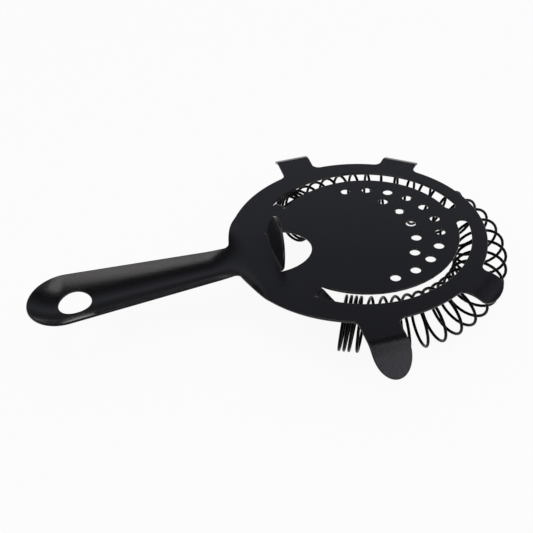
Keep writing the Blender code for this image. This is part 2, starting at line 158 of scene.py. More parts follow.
# the plate: a flat blank, cut, rounded at its edges and folded
plateSizes = {          # millimetres and degrees
    "sheet": 0.8, "edgeRound": 0.28, "discRadius": 44.0,
    "slotOuterRadius": 36.5, "slotOuterX": 2.5, "slotInnerRadius": 31.8, "slotInnerX": 3.2,
    "slotFront": 9.4, "slotRear": 134.0,
    "tongueGap": 0.5, "tongueRootWidth": 4.0, "tongueTipWidth": 3.4, "tongueLength": 17.5,
    "tongueTaper": 9.0, "tongueSet": 40.0, "tongueHook": 1.5, "tongueBend": 1.5, "tongueDrop": 3.914,
    "tabFoldX": -30.0, "tabWidth": 21.1, "tabLength": 13.1, "tabBow": 0.6, "tabAngle": 80.0,
    "tabBend": 1.0, "tabSlit": 0.5,
    "holeDiameter": 3.4, "frontRow": (2.9, 25.7, 11, 17.3), "backRow": (-8.1, 27.9, 5, 16.7),
    "earBend": 8.6, "earAngle": 41.0, "earFillet": 2.5,
    "rearEarX": -7.9, "rearEar": (12.3, 50.38, 7.18, 9.1),            # width, fold, leg, tip
    "frontEarAngle": 51.6, "frontEar": (13.0, 46.48, 1.08, 3.4),
    "handleReach": 113.1, "neckWidth": 14.8, "endWidth": 25.7, "handleFillet": 2.0,
    "neckStart": 37.0, "neckLength": 15.0, "neckDrop": 1.9, "handleSlope": 2.7,
    "neckRadius": 17.0, "troughRadius": 24.6, "hangDiameter": 11.0, "hangInset": 15.8,
    # steps round arcs, in degrees
    "rimStep": 2.0, "fineStep": 7.5, "ellipseStep": 3.0, "endStep": 4.0, "holeStep": 10.0, "hangStep": 5.0,
    "tongueTipStep": 15.0, "tongueRootStep": 20.0, "stepSlack": 1e-6,
    # rows and points of the skin
    "foldRows": 11, "tongueRows": 7, "tabPoints": 41, "tonguePoints": 40, "troughPoints": 31,
    "neckRow": 0.75, "troughRow": 1.5, "troughMargin": 1.0, "spareSpacing": 2.5, "spareShift": (0.31, 0.17),
    "probe": 0.004, "mitreLeast": 0.3, "sameSpot": 1e-4, "leastTurn": 1e-7,
    "edgeAngles": (25.0, 50.0, 75.0, 90.0, 90.1, 105.0, 130.0, 155.0),      # round the edge, top to underside
}
ps = plateSizes


def arcPoints(centre, radius, start, end, step):
    # circle: centre + radius * (cos a, sin a), a running evenly from start to end
    count = max(1, math.ceil(abs(end - start) / step - ps["stepSlack"]))
    a = np.radians(np.linspace(start, end, count + 1))
    return np.c_[centre[0] + radius * np.cos(a), centre[1] + radius * np.sin(a)]


def headingOf(vector):
    # angle of a vector from +X, in degrees
    return math.degrees(math.atan2(vector[1], vector[0]))


def turned(points, angle):
    # plane rotation about the plate's centre
    c, s = math.cos(math.radians(angle)), math.sin(math.radians(angle))
    return points @ np.array([[c, s], [-s, c]])


def rootFillet(sideY, slope, radius):
    # circle that touches the rim from outside and a limb's side line, drawn from the rim to the side
    along = np.array([math.cos(math.radians(slope)), math.sin(math.radians(slope))])
    start = np.array([ps["discRadius"], sideY]) + radius * np.array([along[1], -along[0]])
    half = start @ along
    rest = start @ start - (ps["discRadius"] + radius) ** 2
    centre = start + (math.sqrt(half * half - rest) - half) * along
    return arcPoints(centre, radius, headingOf(-centre) % 360.0, 90.0 + slope, ps["fineStep"])


def limb(right, left, tip):
    # a limb along +X: up its right side, round its tip and down its left side
    return np.vstack([right, tip, (left * [1, -1])[::-1]])


def foldLength(bend, angle):
    # arc of the sheet's middle: middle radius times the angle
    return (bend + ps["sheet"] / 2) * math.radians(abs(angle))


def halfEllipse(centre, long, half):
    # the +X half of an ellipse: a circle's half stretched along and across
    return arcPoints((0.0, 0.0), 1.0, -90.0, 90.0, ps["ellipseStep"]) * [long, half] + centre


def earOutline(size, offset):
    # straight sides that end in half an ellipse
    width, fold, leg, tip = size
    low, high = offset - width / 2, offset + width / 2
    reach = fold + foldLength(ps["earBend"], ps["earAngle"]) + leg
    tip = halfEllipse((reach - tip, offset), tip, width / 2)
    return limb(rootFillet(low, 0.0, ps["earFillet"]), rootFillet(-high, 0.0, ps["earFillet"]), tip)


def handleOutline():
    # straight sides from the neck that touch a round end
    radius = ps["endWidth"] / 2
    centre = ps["handleReach"] - radius
    toEnd = (centre - ps["discRadius"], ps["neckWidth"] / 2)
    slope = headingOf(toEnd) - math.degrees(math.asin(radius / math.hypot(*toEnd)))
    side = rootFillet(-ps["neckWidth"] / 2, slope, ps["handleFillet"])
    tip = arcPoints((centre, 0.0), radius, slope - 90.0, 90.0 - slope, ps["endStep"])
    return limb(side, side, tip)


def blankOutline():
    # the limbs in turn, with arcs of the rim between them
    front = earOutline(ps["frontEar"], 0.0)
    limbs = [turned(front, -ps["frontEarAngle"]), turned(front, ps["frontEarAngle"]),
             turned(earOutline(ps["rearEar"], -ps["rearEarX"]), 90.0), turned(handleOutline(), 180.0),
             turned(earOutline(ps["rearEar"], ps["rearEarX"]), 270.0)]
    runs = []
    for this, following in zip(limbs, limbs[1:] + limbs[:1]):
        start = headingOf(this[-1])
        sweep = (headingOf(following[0]) - start) % 360.0
        runs += [this, arcPoints((0.0, 0.0), ps["discRadius"], start, start + sweep, ps["rimStep"])]
    return np.vstack(runs)


def tonguePathRadius():
    # the arc that the tongue's tip is centred on
    return ps["slotOuterRadius"] - ps["tongueGap"] - ps["tongueTipWidth"] / 2


def tongueWidth(run):
    # straight taper from the root's width to the tip's
    share = np.clip(run / ps["tongueTaper"], 0.0, 1.0)
    return ps["tongueRootWidth"] + (ps["tongueTipWidth"] - ps["tongueRootWidth"]) * share


def tonguePoint(run, radius):
    # circle about the slot's outer centre, run as an arc back from the slot's rear end
    a = math.radians(ps["slotRear"]) - run / tonguePathRadius()
    return np.c_[ps["slotOuterX"] + radius * np.cos(a), radius * np.sin(a)]


def halfRound(start, end, step):
    # half circle from one point to another, clockwise about their middle
    middle = (start + end) / 2
    a = headingOf(start - middle)
    return arcPoints(middle, np.linalg.norm(start - middle), a, a - 180.0, step)[1:-1]


def slotOutline():
    # the far slot: outer arc, front end, inner arc, then out and back round the tongue
    front, rear, step = ps["slotFront"], ps["slotRear"], ps["rimStep"]
    outer = arcPoints((ps["slotOuterX"], 0.0), ps["slotOuterRadius"], rear, front, step)
    inner = arcPoints((ps["slotInnerX"], 0.0), ps["slotInnerRadius"], front, rear, step)
    edge = ps["slotOuterRadius"] - ps["tongueGap"]
    runs = np.linspace(0.0, ps["tongueLength"] - ps["tongueTipWidth"] / 2, ps["tonguePoints"])
    tongueIn = tonguePoint(runs, edge - tongueWidth(runs))
    tongueOut = tonguePoint(runs[::-1], np.full(len(runs), edge))
    tip = halfRound(tongueOut[0], tongueIn[-1], ps["tongueTipStep"])[::-1]
    return np.vstack([outer, halfRound(outer[-1], inner[0], ps["fineStep"]), inner,
                      halfRound(inner[-1], tongueIn[0], ps["tongueRootStep"]), tongueIn, tip, tongueOut,
                      halfRound(tongueOut[-1], outer[0], ps["tongueRootStep"])])


def tabEdge(grow):
    # half ellipse round the finger tab
    return halfEllipse((ps["tabFoldX"], 0.0), ps["tabLength"] + grow, ps["tabWidth"] / 2 + grow)


def holeRow(centreX, radius, count, step):
    # round holes at even angles on an arc
    a = np.radians((np.arange(count) - (count - 1) / 2) * step)
    centres = np.c_[centreX + radius * np.cos(a), radius * np.sin(a)]
    return [arcPoints(c, ps["holeDiameter"] / 2, 0.0, 360.0, ps["holeStep"])[:-1] for c in centres]


def cutOuts():
    # both slots, the slit round the tab, the hanging hole and the two rows of holes
    slot = slotOutline()
    hangSpot = (ps["hangInset"] - ps["handleReach"], 0.0)
    hang = arcPoints(hangSpot, ps["hangDiameter"] / 2, 0.0, 360.0, ps["hangStep"])[:-1]
    tab = np.vstack([tabEdge(ps["tabSlit"]), tabEdge(0.0)[::-1]])
    return [slot, slot * [1, -1], tab, hang] + holeRow(*ps["frontRow"]) + holeRow(*ps["backRow"])


def foldRun(run, folds):
    # a run over flats and arcs: each fold turns the heading by its angle over its length;
    # gives the way along and the height of the sheet's top face
    half = ps["sheet"] / 2
    x = np.minimum(run, 0.0)
    z = np.full_like(run, -half)
    heading = np.zeros_like(run)
    done = 0.0
    for start, angle, length in folds:
        straight = np.clip(run, done, start) - done
        bent = np.clip(run - start, 0.0, length)
        after = heading + bent * angle / length
        x = x + straight * np.cos(heading) + length / angle * (np.sin(after) - np.sin(heading))
        z = z + straight * np.sin(heading) + length / angle * (np.cos(heading) - np.cos(after))
        heading = after
        done = start + length
    straight = np.clip(run - done, 0.0, None)
    x = x + straight * np.cos(heading) - half * np.sin(heading)
    z = z + straight * np.sin(heading) + half * np.cos(heading)
    return x, z


def tongueFolds():
    # down by the set angle, then back up past level by the hook angle
    down = math.radians(ps["tongueSet"])
    downLength = foldLength(ps["tongueBend"], ps["tongueSet"])
    up = ps["tongueSet"] + ps["tongueHook"]
    radius = ps["tongueBend"] + ps["sheet"] / 2
    straight = (ps["tongueDrop"] - 2 * radius * (1 - math.cos(down))) / math.sin(down)
    return [(0.0, -down, downLength),
            (downLength + straight, math.radians(up), foldLength(ps["tongueBend"], up))]


def tabStart(y):
    # the tab's root line: a parabola across the tab
    return ps["tabFoldX"] - ps["tabBow"] * (1 - (2 * y / ps["tabWidth"]) ** 2)


def earFrames():
    # heading, sideways offset, width and fold distance of each ear
    frames = []
    for side in (-1, 1):
        frames.append((side * ps["frontEarAngle"], 0.0, ps["frontEar"][0], ps["frontEar"][1]))
        frames.append((side * 90.0, -side * ps["rearEarX"], ps["rearEar"][0], ps["rearEar"][1]))
    return frames


def earZone(heading, offset, width, fold):
    # one fold down, along the ear's own heading
    folds = [(0.0, -math.radians(ps["earAngle"]), foldLength(ps["earBend"], ps["earAngle"]))]

    def form(x, y):
        along, across = turned(np.c_[x, y], -heading).T
        reach, z = foldRun(along - fold, folds)
        return np.c_[turned(np.c_[fold + reach, across], heading), z]

    def holds(x, y):
        along, across = turned(np.c_[x, y], -heading).T
        return (along > fold) & (np.abs(across - offset) < width)

    return holds, form


def tabZone():
    # one fold up, starting on the tab's root line
    folds = [(0.0, math.radians(ps["tabAngle"]), foldLength(ps["tabBend"], ps["tabAngle"]))]

    def form(x, y):
        run, z = foldRun(x - tabStart(y), folds)
        return np.c_[tabStart(y) + run, y, z]

    def holds(x, y):
        long = ps["tabLength"] + ps["tabSlit"] / 2
        half = ps["tabWidth"] / 2 + ps["tabSlit"] / 2
        leaf = ((x - ps["tabFoldX"]) / long) ** 2 + (y / half) ** 2 < 1.0
        root = (np.abs(y) < ps["tabWidth"] / 2) & (x > tabStart(y))
        return np.where(x <= ps["tabFoldX"], root, leaf)

    return holds, form


def tongueZone(side):
    # the tongue's folds, run along its arc
    folds = tongueFolds()

    def local(x, y):
        radius = np.hypot(x - ps["slotOuterX"], y)
        angle = np.arctan2(side * y, x - ps["slotOuterX"])
        run = (math.radians(ps["slotRear"]) - angle) * tonguePathRadius()
        return run, radius

    def form(x, y):
        run, radius = local(x, y)
        along, z = foldRun(run, folds)
        return np.c_[tonguePoint(along, radius) * [1, side], z]

    def holds(x, y):
        run, radius = local(x, y)
        outer = ps["slotOuterRadius"] - ps["tongueGap"] / 2
        inner = ps["slotOuterRadius"] - ps["tongueGap"] * 1.5 - tongueWidth(run)
        within = (run > 0) & (run < ps["tongueLength"] + ps["tongueGap"]) & (side * y > 0)
        return within & (radius > inner) & (radius < outer)

    return holds, form


def handleZone():
    # a trough rolled to a circle that widens towards the end: eased in over the neck, sloping down
    # and closed like a spoon round the end
    endCentre = ps["handleReach"] - ps["endWidth"] / 2
    troughLength = endCentre - ps["neckStart"] - ps["neckLength"]

    def form(x, y):
        run = -x - ps["neckStart"]
        beyond = np.maximum(-x - endCentre, 0.0)
        share = np.clip(run / ps["neckLength"], 0.0, 1.0)
        eased = share * share * (3 - 2 * share)
        middle = -eased * (ps["neckDrop"] + math.tan(math.radians(ps["handleSlope"])) * run)
        across = np.hypot(beyond, y)
        along = np.clip((run - ps["neckLength"]) / troughLength, 0.0, 1.0)
        radius = ps["neckRadius"] + (ps["troughRadius"] - ps["neckRadius"]) * along
        turn = np.maximum(across * eased / radius, ps["leastTurn"])
        shrink = np.sin(turn) / turn
        rise = across * (1 - np.cos(turn)) / turn
        return np.c_[x + beyond * (1 - shrink), y * shrink, middle + rise]

    return (lambda x, y: x < -ps["neckStart"]), form


def flatZone():
    # all the rest stays at height 0
    return (lambda x, y: np.ones(len(x), bool)), (lambda x, y: np.c_[x, y, np.zeros(len(x))])


def bendLines():
    # lines across the folds and the trough, so that the skin has points to bend at
    lines = []
    for heading, offset, width, fold in earFrames():
        for run in np.linspace(0.0, foldLength(ps["earBend"], ps["earAngle"]), ps["foldRows"]):
            across = np.array([[fold + run, offset - width], [fold + run, offset + width]])
            lines.append(turned(across, heading))
    y = np.linspace(-ps["tabWidth"] / 2, ps["tabWidth"] / 2, ps["tabPoints"])
    tabHolds = tabZone()[0]
    for run in np.linspace(0.0, foldLength(ps["tabBend"], ps["tabAngle"]), ps["foldRows"]):
        line = np.c_[tabStart(y) + run, y]
        lines.append(line[(line[:, 0] <= ps["tabFoldX"]) | tabHolds(*line.T)])
    for start, _, length in tongueFolds():
        for run in start + np.linspace(0.0, length, ps["tongueRows"]):
            edge = ps["slotOuterRadius"] - ps["tongueGap"]
            radii = np.array([edge + ps["tongueGap"] / 2, edge - tongueWidth(run) - ps["tongueGap"] / 2])
            ends = tonguePoint(np.full(2, run), radii)
            lines += [ends, ends * [1, -1]]
    neckEnd = ps["neckStart"] + ps["neckLength"]
    stations = np.r_[np.arange(ps["neckStart"], neckEnd, ps["neckRow"]),
                     np.arange(neckEnd, ps["handleReach"], ps["troughRow"])]
    points = ps["troughPoints"]
    for station in stations:
        span = math.sqrt(max(ps["discRadius"] ** 2 - station ** 2, 0.0))
        half = max(ps["endWidth"] / 2, span) + ps["troughMargin"]
        lines.append(np.c_[np.full(points, -station), np.linspace(-half, half, points)])
    return lines


def oddInside(loop, spots):
    # crossings of a ray along +X with the loop's edges, odd inside
    ax, ay = loop.T
    bx, by = np.roll(loop, -1, axis=0).T
    px, py = spots[:, :1], spots[:, 1:]
    slope = (bx - ax) / np.where(by == ay, 1.0, by - ay)
    crosses = ((ay > py) != (by > py)) & (px < ax + (py - ay) * slope)
    return crosses.sum(axis=1) % 2 == 1


def insetLoop(loop, depth, outside):
    # each point moves into the metal along the mitre of its two edges
    loop = loop[np.linalg.norm(loop - np.roll(loop, 1, axis=0), axis=1) > ps["sameSpot"]]
    x, y = loop.T
    area = np.sum(x * np.roll(y, -1) - np.roll(x, -1) * y)
    if (area > 0) != outside:
        loop = loop[::-1]
    ahead = np.roll(loop, -1, axis=0) - loop
    ahead /= np.linalg.norm(ahead, axis=1)[:, None]
    n1 = np.c_[-ahead[:, 1], ahead[:, 0]]
    n0 = np.roll(n1, 1, axis=0)
    return loop + depth * (n0 + n1) / (1 + (n0 * n1).sum(axis=1))[:, None]


def flatSkin():
    # Delaunay triangles of the inset loops, bend lines and spare points, kept where the metal is
    loops = [insetLoop(blankOutline(), ps["edgeRound"], True)]
    loops += [insetLoop(loop, ps["edgeRound"], False) for loop in cutOuts()]
    lines = bendLines()
    side = np.arange(-ps["discRadius"], ps["discRadius"], ps["spareSpacing"])
    shiftX, shiftY = ps["spareShift"]
    spare = np.stack(np.meshgrid(side + shiftX, side + shiftY), axis=-1).reshape(-1, 2)
    sizes = [len(run) for run in loops + lines]
    firsts = np.r_[0, np.cumsum(sizes)]
    edges = []
    for k, (first, size) in enumerate(zip(firsts, sizes)):
        ring = first + np.arange(size)
        pairs = np.c_[ring, np.roll(ring, -1)]
        edges.append(pairs if k < len(loops) else pairs[:-1])
    points = np.vstack(loops + lines + [spare])
    found = delaunay_2d_cdt(points.tolist(), np.vstack(edges).tolist(), [], 0, ps["sameSpot"], False)
    flat = np.array([tuple(v) for v in found[0]])
    faces = np.array(found[2])
    a, b, c = flat[faces[:, 0]], flat[faces[:, 1]], flat[faces[:, 2]]
    cross = (b[:, 0] - a[:, 0]) * (c[:, 1] - a[:, 1]) - (b[:, 1] - a[:, 1]) * (c[:, 0] - a[:, 0])
    faces[cross < 0] = faces[cross < 0][:, ::-1]
    middles = (a + b + c) / 3
    kept = np.zeros(len(faces), bool)
    for loop in loops:
        kept ^= oddInside(loop, middles)
    faces = faces[kept]
    used = np.unique(faces)
    renumber = np.zeros(len(flat), int)
    renumber[used] = np.arange(len(used))
    return flat[used], renumber[faces]


def formSheet(flat, zoneOf, zones):
    # place of the top face, and its slopes along x and y by central differences, zone by zone
    place, slopeX, slopeY = (np.zeros((len(flat), 3)) for _ in range(3))
    h = ps["probe"]
    for index, (_, form) in enumerate(zones):
        here = zoneOf == index
        x, y = flat[here].T
        place[here] = form(x, y)
        slopeX[here] = (form(x + h, y) - form(x - h, y)) / (2 * h)
        slopeY[here] = (form(x, y + h) - form(x, y - h)) / (2 * h)
    normal = np.cross(slopeX, slopeY)
    return place, slopeX, slopeY, normal / np.linalg.norm(normal, axis=1)[:, None]


def buildPlate():
    # two skins joined by a rounded edge: a quarter circle out and down, a short wall, a quarter circle back
    flat, faces = flatSkin()
    zones = [earZone(*one) for one in earFrames()]
    zones += [tabZone(), tongueZone(1), tongueZone(-1), handleZone(), flatZone()]
    zoneOf = np.select([holds(*flat.T) for holds, _ in zones], np.arange(len(zones)))
    count = len(flat)
    edges = np.vstack([faces[:, [0, 1]], faces[:, [1, 2]], faces[:, [2, 0]]])
    rim = edges[~np.isin(edges[:, 0] * count + edges[:, 1], edges[:, 1] * count + edges[:, 0])]
    before, after = np.full(count, -1), np.full(count, -1)
    after[rim[:, 0]] = rim[:, 1]
    before[rim[:, 1]] = rim[:, 0]
    edgeSpots = np.unique(rim)
    ahead = flat[after[edgeSpots]] - flat[edgeSpots]
    behind = flat[edgeSpots] - flat[before[edgeSpots]]
    n1, n0 = (np.c_[d[:, 1], -d[:, 0]] / np.linalg.norm(d, axis=1)[:, None] for d in (ahead, behind))
    mitre = (n0 + n1) / np.maximum(1 + (n0 * n1).sum(axis=1), ps["mitreLeast"])[:, None]

    place, _, _, normal = formSheet(flat, zoneOf, zones)
    spots = [place, place - ps["sheet"] * normal]
    normals = [normal, -normal]
    shares = [np.zeros(count), np.zeros(count)]
    r = ps["edgeRound"]
    for angle in ps["edgeAngles"]:
        c, s = math.cos(math.radians(angle)), math.sin(math.radians(angle))
        depth = r * (c - 1) if angle <= 90.0 else r * (1 + c) - ps["sheet"]
        shifted = flat[edgeSpots] + mitre * r * s
        at, slopeX, slopeY, up = formSheet(shifted, zoneOf[edgeSpots], zones)
        out = mitre[:, :1] * slopeX + mitre[:, 1:] * slopeY
        out /= np.linalg.norm(out, axis=1)[:, None]
        spots.append(at + depth * up)
        normals.append(c * up + s * out)
        shares.append(np.full(len(edgeSpots), s))
    place = np.vstack(spots) * mm
    normals = np.vstack(normals)

    slotOf = np.full(count, -1)
    slotOf[edgeSpots] = np.arange(len(edgeSpots))
    rings = [2 * count + k * len(edgeSpots) + slotOf[rim] for k in range(len(ps["edgeAngles"]))]
    rows = [rim, *rings, rim + count]
    quads = [np.c_[upper[:, 1], upper[:, 0], lower[:, 0], lower[:, 1]]
             for upper, lower in zip(rows[:-1], rows[1:])]
    skins = faces.tolist() + (faces[:, ::-1] + count).tolist()
    mesh = bpy.data.meshes.new("strainerPlate")
    mesh.from_pydata(place.tolist(), [], skins + np.vstack(quads).tolist())
    mesh.shade_smooth()
    mesh.normals_split_custom_set_from_vertices(normals.tolist())
    share = mesh.attributes.new("edgeShare", "FLOAT", "POINT")
    share.data.foreach_set("value", np.concatenate(shares).astype(np.float32))
    return addPiece("strainerPlate", mesh)


def addPiece(name, mesh):
    piece = bpy.data.objects.new(name, mesh)
    bpy.context.scene.collection.objects.link(piece)
    print(name, len(mesh.vertices), "points", len(mesh.polygons), "faces")
    return piece


coatLook = {
    "dark": (0.0034, 0.0035, 0.0044, 1.0), "pale": (0.0078, 0.0079, 0.0096, 1.0),
    # size, detail and roughness of each noise
    "grain": (0.30 * mm, 2.0, 0.6), "peel": (0.95 * mm, 1.0), "cloud": (11.0 * mm, 3.0),
    "tone": 0.42, "toneBy": (1.1, 0.5, 0.35),                   # grain, cloud, edge
    "roughness": 0.22, "roughnessBy": (0.16, 0.12, 0.08),       # peel, grain, edge
    "gloss": 0.50, "bump": 0.75, "bumpDepth": 0.035 * mm, "bumpBy": (0.5, 0.7),      # grain, peel
}


def powderCoat():
    # black coat: fine grain, orange peel and slow clouds, a little paler and smoother on the cut edges
    look = coatLook
    material, bench = newMaterial("powderCoat")
    spot = bench.node("ShaderNodeTexCoord", out="Object")
    grain = bench.noise(spot, *look["grain"])
    peel = bench.noise(spot, *look["peel"])
    cloud = bench.noise(spot, *look["cloud"])
    edge = bench.node("ShaderNodeAttribute", {"attribute_name": "edgeShare"}, out="Fac")
    byGrain, byCloud, byEdge = look["toneBy"]
    tone = (grain - 0.5) * byGrain + (cloud - 0.5) * byCloud + look["tone"] + edge * byEdge
    colour = bench.blend(tone, look["dark"], look["pale"])
    byPeel, byGrain, byEdge = look["roughnessBy"]
    rough = (peel - 0.5) * byPeel + (grain - 0.5) * byGrain + look["roughness"] - edge * byEdge
    byGrain, byPeel = look["bumpBy"]
    bump = bumpOf(bench, grain * byGrain + peel * byPeel, look)
    dress(bench, {"Base Color": colour, "Roughness": rough, "Normal": bump,
                  "Specular IOR Level": look["gloss"]})
    return material


# the spring: round wire carried along a coil that is bent to a horseshoe
springSizes = {         # millimetres and degrees
    "wire": 1.0, "coil": 18.6, "axisZ": -10.8, "ringRadius": 36.1, "ringX": 6.8, "ringHalf": 80.0,
    "turns": 35.7, "closeTurns": 2.8, "closePitch": 1.6, "opening": 2.0, "frontRatio": 1.35,
    "seatAngle": 117.5, "seatSlant": 26.0, "endLean": 1.2, "sideLean": -1.0, "firstPhase": 342.0,
    "perTurn": 30, "around": 12, "samples": 300, "endRound": 0.22, "endShape": 0.3, "sharpAngle": 50.0,
}
ss = springSizes


def coilPath():
    # front: circle; sides: cubic from the circle's end to the seat; ends: straight over the tongues
    ring = np.radians(np.linspace(0.0, ss["ringHalf"], ss["samples"]))
    front = np.c_[ss["ringX"] + ss["ringRadius"] * np.cos(ring), ss["ringRadius"] * np.sin(ring)]
    leave = front[-1]
    leaveWay = np.array([-math.sin(ring[-1]), math.cos(ring[-1])])
    seat, slant = math.radians(ss["seatAngle"]), math.radians(ss["seatSlant"])
    seatWay = np.array([-math.cos(slant), -math.sin(slant)])
    middle = tonguePathRadius() * np.array([math.cos(seat), math.sin(seat)]) + [ps["slotOuterX"], 0.0]
    closeLength = ss["closeTurns"] * ss["closePitch"]
    meet = middle - seatWay * closeLength / 2
    chord = np.linalg.norm(meet - leave)
    u = np.linspace(0.0, 1.0, ss["samples"])[1:, None]
    side = (2 * u ** 3 - 3 * u ** 2 + 1) * leave + (u ** 3 - 2 * u ** 2 + u) * chord * leaveWay
    side += (3 * u ** 2 - 2 * u ** 3) * meet + (u ** 3 - u ** 2) * chord * seatWay
    end = meet + np.linspace(0.0, closeLength, ss["samples"])[1:, None] * seatWay
    half = np.vstack([front, side, end])
    return np.vstack([(half * [1, -1])[:0:-1], half])


def turnsAlong(path):
    # turns counted along the path: close at both ends, opening towards the front
    steps = np.linalg.norm(np.diff(path, axis=0), axis=1)
    length = np.r_[0.0, np.cumsum(steps)]
    toEnd = np.minimum(length, length[-1] - length)
    opened = np.clip((toEnd - ss["closeTurns"] * ss["closePitch"]) / ss["opening"], 0.0, 1.0)
    pitch = 1 + (ss["frontRatio"] - 1) * np.clip(2 * toEnd / length[-1], 0.0, 1.0)

    def summed(density):
        return np.r_[0.0, np.cumsum(steps * (density[1:] + density[:-1]) / 2)]

    close = summed((1 - opened) / ss["closePitch"])
    wide = summed(opened / pitch)
    return length, close + wide * (ss["turns"] - close[-1]) / wide[-1]


def wireLine():
    # helix: middle line + radius * (minus cos of the phase sideways, sin of the phase up),
    # leaning along the path
    path = coilPath()
    length, turns = turnsAlong(path)
    wanted = np.linspace(0.0, ss["turns"], round(ss["turns"] * ss["perTurn"]) + 1)
    at = np.interp(wanted, turns, length)
    middle = np.c_[np.interp(at, length, path[:, 0]), np.interp(at, length, path[:, 1])]
    way = np.gradient(path, length, axis=0)
    way = np.c_[np.interp(at, length, way[:, 0]), np.interp(at, length, way[:, 1])]
    way /= np.linalg.norm(way, axis=1)[:, None]
    phase = 2 * np.pi * wanted + math.radians(ss["firstPhase"])
    radius = (ss["coil"] - ss["wire"]) / 2
    half = length[-1] / 2
    spots = [0.0, ss["closeTurns"] * ss["closePitch"], half / 2, half]
    leans = [ss["endLean"], ss["endLean"], ss["sideLean"], 0.0]
    lean = np.interp(np.minimum(at, length[-1] - at), spots, leans)
    aside = -np.cos(phase)
    along = lean * np.sin(phase) * np.sign(half - at)
    outward = np.c_[aside * way[:, 1], -aside * way[:, 0], np.sin(phase)]
    line = np.c_[middle + along[:, None] * way, np.full(len(at), ss["axisZ"])] + radius * outward
    return line, outward


def buildSpring():
    # tube: line + wire radius * (cos b outward + sin b sideways),
    # closed by a rounded rim and a flat at both ends
    line, outward = wireLine()
    tangent = np.gradient(line, axis=0)
    tangent /= np.linalg.norm(tangent, axis=1)[:, None]
    r, e = ss["wire"] / 2, ss["endRound"]
    stub, shape = ss["wire"], ss["endShape"]
    back = np.array([stub, stub - e * shape, stub - e])
    thin = np.array([r - e, r - e * shape, r])
    ends = len(thin)
    line = np.vstack([line[0] - back[:, None] * tangent[0], line,
                      line[-1] + back[::-1, None] * tangent[-1]])
    tangent = np.vstack([np.repeat(tangent[:1], ends, 0), tangent, np.repeat(tangent[-1:], ends, 0)])
    outward = np.vstack([np.repeat(outward[:1], ends, 0), outward, np.repeat(outward[-1:], ends, 0)])
    radii = np.r_[thin, np.full(len(line) - 2 * ends, r), thin[::-1]]
    outward -= (outward * tangent).sum(axis=1)[:, None] * tangent
    outward /= np.linalg.norm(outward, axis=1)[:, None]
    sideways = np.cross(tangent, outward)
    n = ss["around"]
    b = 2 * np.pi * np.arange(n) / n
    rings = line[:, None] + radii[:, None, None] * (np.cos(b)[None, :, None] * outward[:, None]
                                                     + np.sin(b)[None, :, None] * sideways[:, None])
    k = np.arange(len(line) - 1)[:, None] * n
    j = np.arange(n)[None]
    j2 = (j + 1) % n
    quads = np.stack([k + j, k + j2, k + n + j2, k + n + j], axis=-1).reshape(-1, 4)
    first, last = np.arange(n)[::-1], (len(line) - 1) * n + np.arange(n)
    faces = quads.tolist() + [first.tolist(), last.tolist()]
    mesh = bpy.data.meshes.new("coilSpring")
    mesh.from_pydata((rings.reshape(-1, 3) * mm).tolist(), [], faces)
    mesh.shade_smooth()
    mesh.set_sharp_from_angle(angle=math.radians(ss["sharpAngle"]))
    run = np.r_[0.0, np.cumsum(np.linalg.norm(np.diff(line, axis=0), axis=1))]
    u = np.repeat(np.stack([run[:-1], run[:-1], run[1:], run[1:]], axis=-1)[:, None], n, axis=1)
    v = np.broadcast_to(np.stack([j, j + 1, j + 1, j], axis=-1) / n, u.shape)
    caps = np.zeros((2 * n, 2))
    corners = np.vstack([np.stack([u, v], axis=-1).reshape(-1, 2), caps])
    mesh.uv_layers.new(name="wireRun").data.foreach_set("uv", corners.astype(np.float32).ravel())
    return addPiece("coilSpring", mesh)


wireLook = {
    "dark": (0.0012, 0.0013, 0.0018, 1.0), "pale": (0.0040, 0.0042, 0.0052, 1.0),
    # bronze: the colour of painted highlights, patches that stand in for warm glints on the wire
    "bronze": (0.030, 0.021, 0.013, 1.0), "bronzeFrom": 0.56, "bronzeTo": 0.72, "bronzeShare": 0.35,
    "streak": (0.12, 7.0, 0.0), "grain": 0.22 * mm, "patch": 7.0 * mm,      # streak: along, around
    "tone": 0.4, "toneBy": (0.9, 0.5),                  # streak, grain
    "roughness": 0.26, "roughnessBy": (0.14, 0.16),     # streak, patch
    "gloss": 0.04, "bump": 0.16, "bumpDepth": 0.02 * mm, "bumpBy": (0.6, 0.8),      # grain, streak
}


def wireCoat():
    # black coat with streaks drawn along the wire, and bronze patches painted into its colour as warm glints
    # (painted highlights)
    look = wireLook
    material, bench = newMaterial("wireCoat")
    spot = bench.node("ShaderNodeTexCoord", out="Object")
    run = bench.node("ShaderNodeUVMap", {"uv_map": "wireRun"})
    drawn = bench.node("ShaderNodeVectorMath", {"operation": "MULTIPLY"}, {0: run, 1: look["streak"]})
    streak = bench.noise(drawn, 1.0)
    grain = bench.noise(spot, look["grain"])
    patch = bench.noise(spot, look["patch"])
    byStreak, byGrain = look["toneBy"]
    tone = (streak - 0.5) * byStreak + (grain - 0.5) * byGrain + look["tone"]
    colour = bench.blend(tone, look["dark"], look["pale"])
    # painted highlight: noise patches tinted bronze stand in for warm glints on the wire
    paintedGlint = patch.between(look["bronzeFrom"], look["bronzeTo"]) * look["bronzeShare"]
    colour = bench.blend(paintedGlint, colour, look["bronze"])
    byStreak, byPatch = look["roughnessBy"]
    rough = (streak - 0.5) * byStreak + (patch - 0.5) * byPatch + look["roughness"]
    byGrain, byStreak = look["bumpBy"]
    bump = bumpOf(bench, grain * byGrain + streak * byStreak, look)
    dress(bench, {"Base Color": colour, "Roughness": rough, "Normal": bump,
                  "Specular IOR Level": look["gloss"]})
    return material


